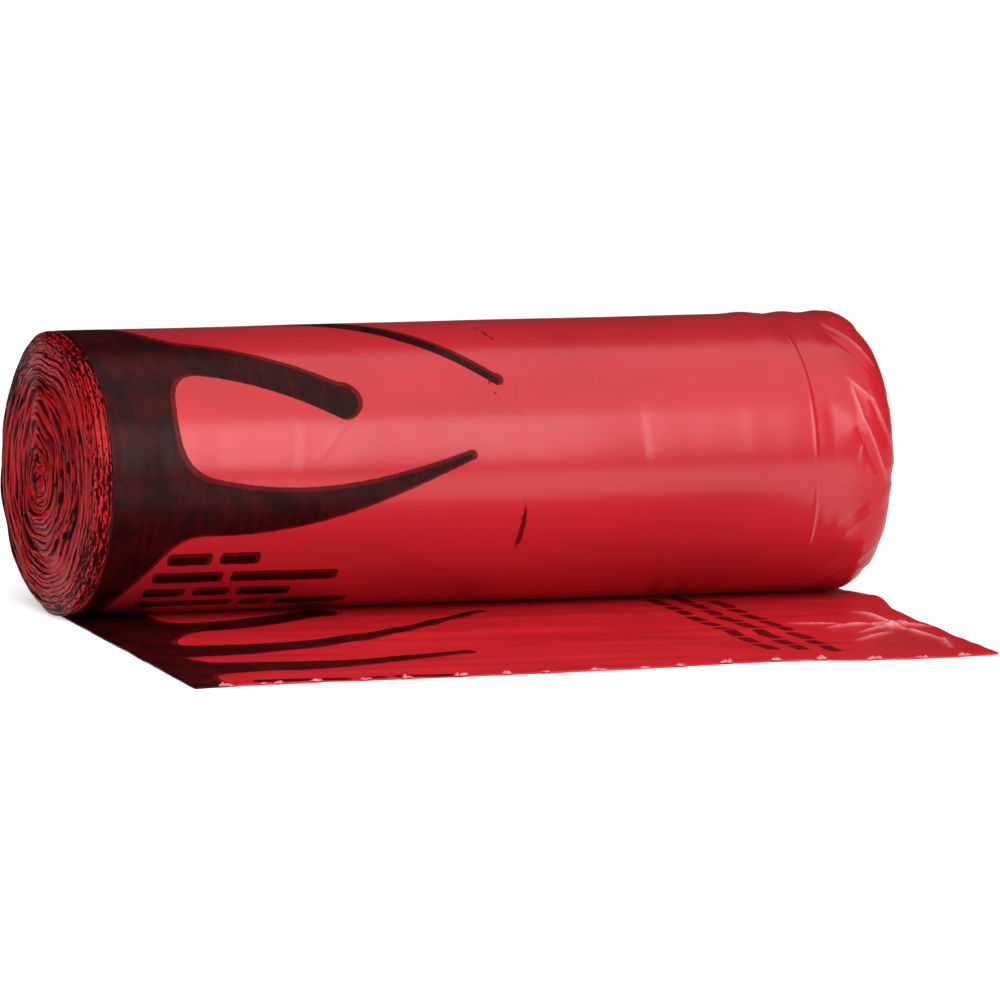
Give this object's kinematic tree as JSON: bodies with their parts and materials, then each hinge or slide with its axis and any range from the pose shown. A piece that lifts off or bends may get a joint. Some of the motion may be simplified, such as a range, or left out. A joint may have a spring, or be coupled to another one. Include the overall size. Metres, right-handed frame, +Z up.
{
  "type": "biohazard waste bag roll",
  "caption": "Coreless roll of folded red film waste bags lying on its side, with the perforated loose end of the web drawn out flat in front.",
  "frame": {"origin": "centre of the footprint of the roll and its loose end, on the surface that they lie on", "axes": "+X along the roll, from its neat folded end to its soft end; -Y from the roll to the torn edge of the loose end; +Z up"},
  "size_m": [0.259, 0.1812, 0.0843],
  "materials": {
    "red_film": "glossy translucent red film in many loose plies, with a black-brown print that shows through from the ply beneath"
  },
  "bodies": {
    "root": {"bag_roll": "red_film"}
  },
  "joints": []
}
